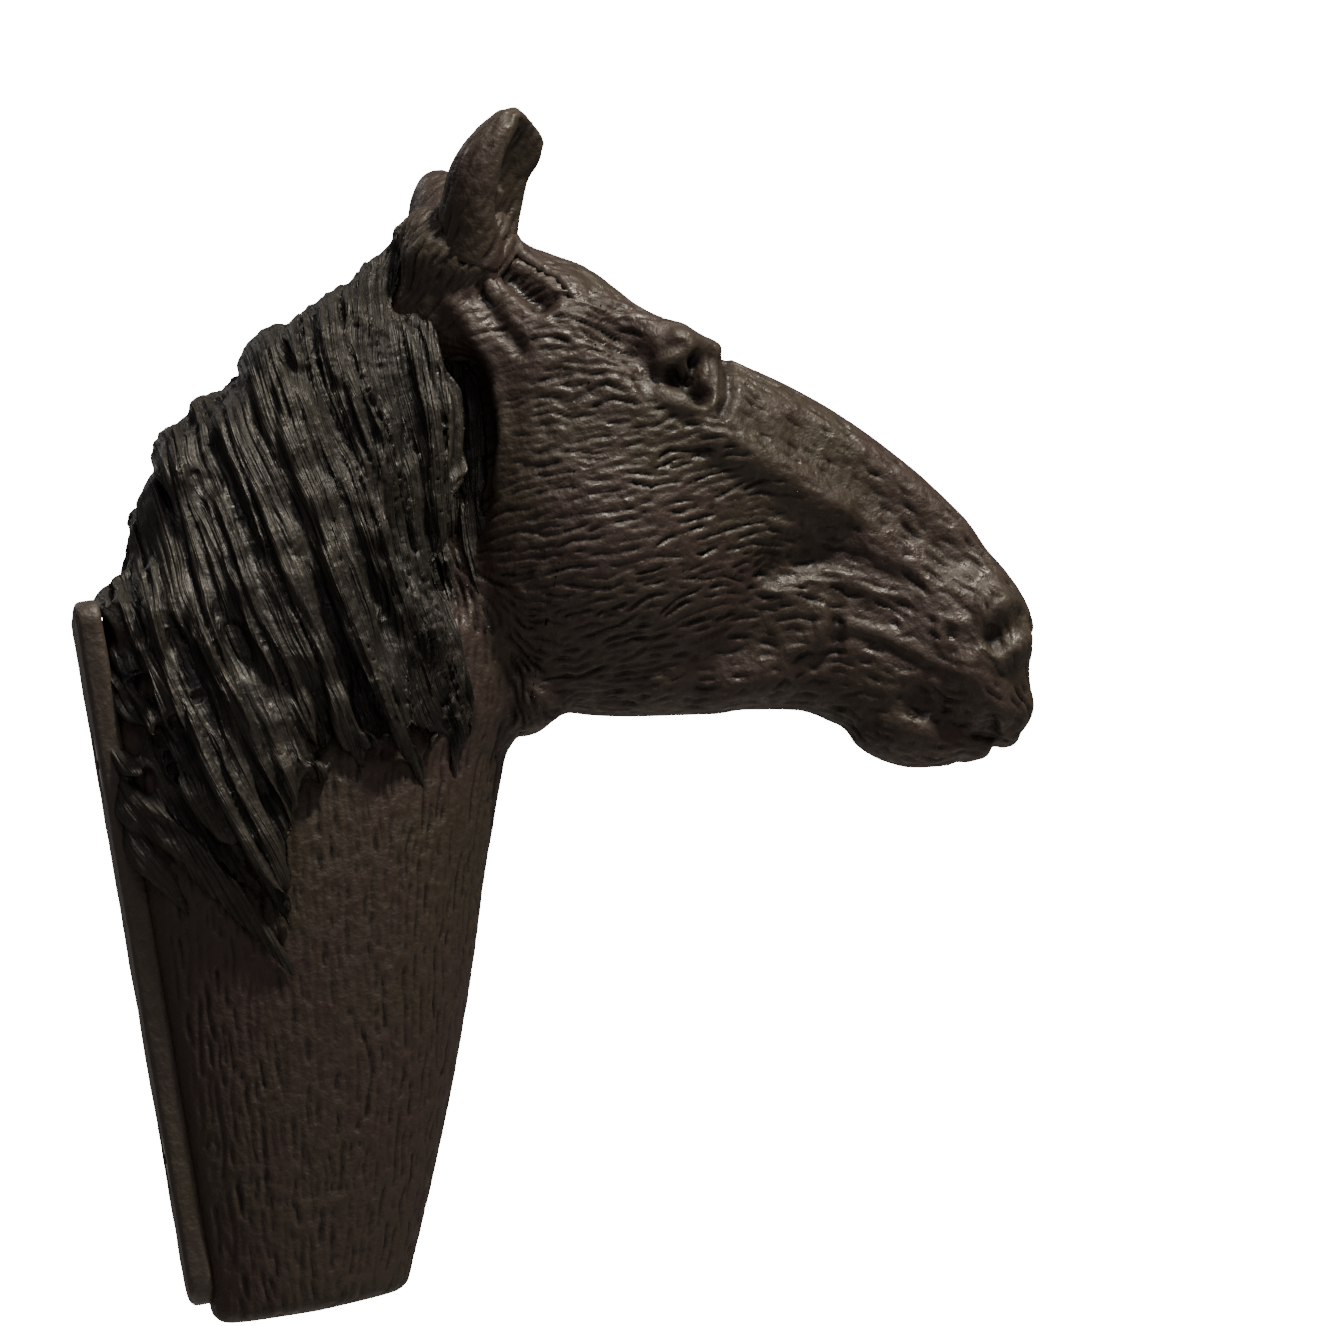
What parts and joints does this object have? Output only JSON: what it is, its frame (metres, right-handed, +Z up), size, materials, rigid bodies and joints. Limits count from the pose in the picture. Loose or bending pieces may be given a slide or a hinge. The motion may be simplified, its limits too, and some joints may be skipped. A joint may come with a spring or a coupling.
{
  "type": "horse head wall ornament",
  "caption": "Small carved horse head and neck with a swept mane, mounted on a thin straight back plate for hanging against a wall.",
  "frame": {"origin": "centre of the back plate's rear face, which lies on the wall", "axes": "+X out of the wall, the way the horse looks; +Y towards the horse's left side; +Z up along the plate"},
  "size_m": [0.0678, 0.0221, 0.0815],
  "materials": {
    "carved_coat": "satin, carved with fine coat strokes",
    "carved_hair": "semi-gloss, carved in long locks",
    "plate": "plain satin",
    "eye": "polished",
    "screw": "plain steel"
  },
  "bodies": {
    "root": {"back_plate": "plate", "head_and_neck": "carved_coat", "mane": "carved_hair", "forelock": "carved_hair", "right_ear": "carved_coat", "left_ear": "carved_coat", "right_eye": "eye", "left_eye": "eye", "upper_fixing_screw": "screw", "lower_fixing_screw": "screw"}
  },
  "joints": []
}
